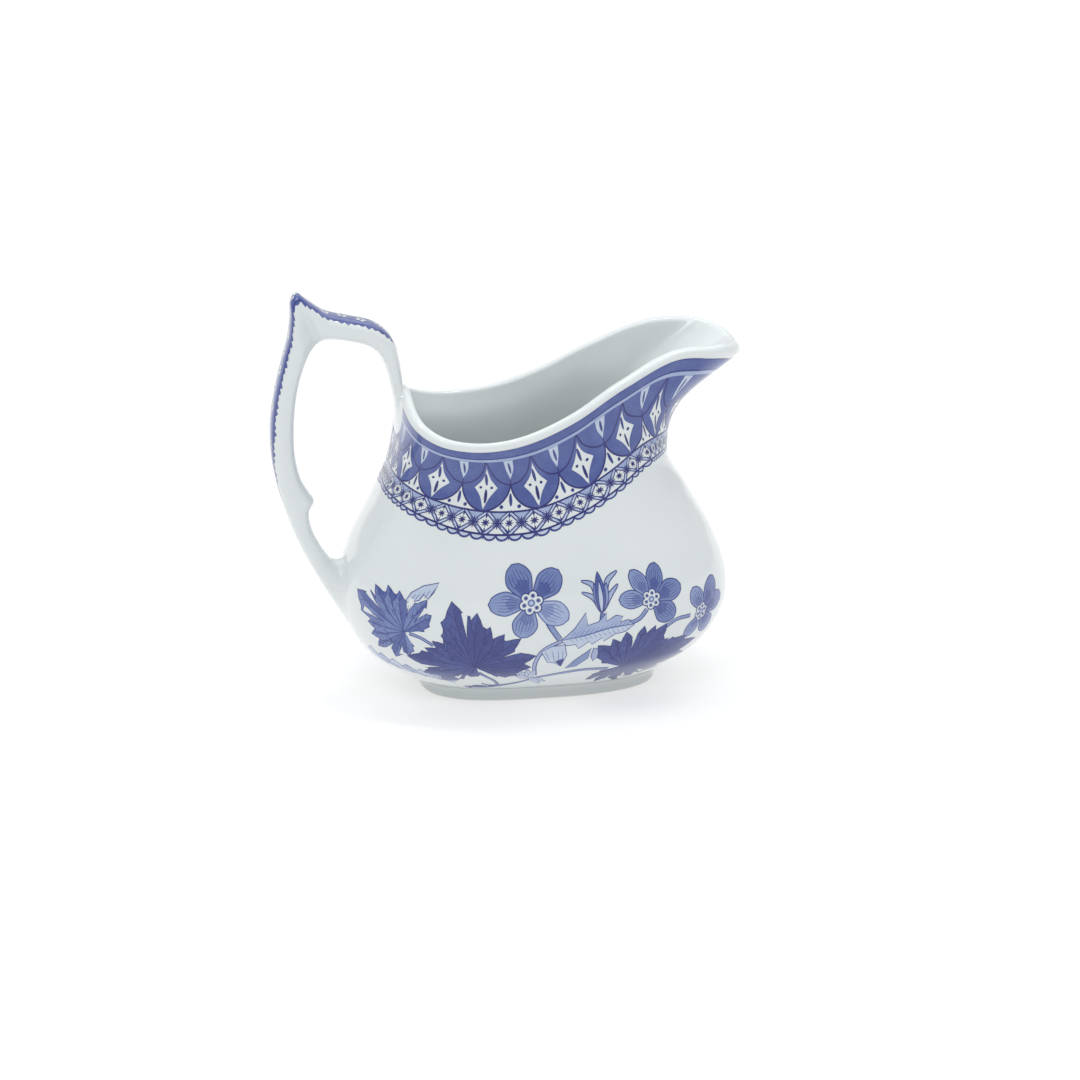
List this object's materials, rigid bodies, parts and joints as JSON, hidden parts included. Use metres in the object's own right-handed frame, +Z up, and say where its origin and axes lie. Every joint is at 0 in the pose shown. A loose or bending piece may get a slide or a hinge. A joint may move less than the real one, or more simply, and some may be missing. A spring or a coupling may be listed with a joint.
{
  "type": "cream jug",
  "caption": "Oval bellied porcelain cream jug with a drawn-out spout, spurred strap handle, moulded foot ring and blue lattice and flower prints.",
  "frame": {"origin": "centre of the overall box at the level the foot ring stands on", "axes": "+X towards the spout, +Y across the jug, +Z up"},
  "size_m": [0.1343, 0.0754, 0.1175],
  "materials": {
    "glazed_porcelain": "white porcelain under a clear gloss glaze, faintly cool",
    "foot_porcelain": "glazed at the side, wiped and left unglazed on the land it stands on",
    "cobalt_print": "cobalt transfer print in several tones, fired under the gloss glaze"
  },
  "bodies": {
    "root": {"body": "glazed_porcelain", "foot_ring": "foot_porcelain", "handle": "glazed_porcelain", "upper_handle_slip": "glazed_porcelain", "lower_handle_slip": "glazed_porcelain", "border_print": "cobalt_print", "near_spray_print": "cobalt_print", "far_spray_print": "cobalt_print", "handle_print": "cobalt_print"}
  },
  "joints": []
}
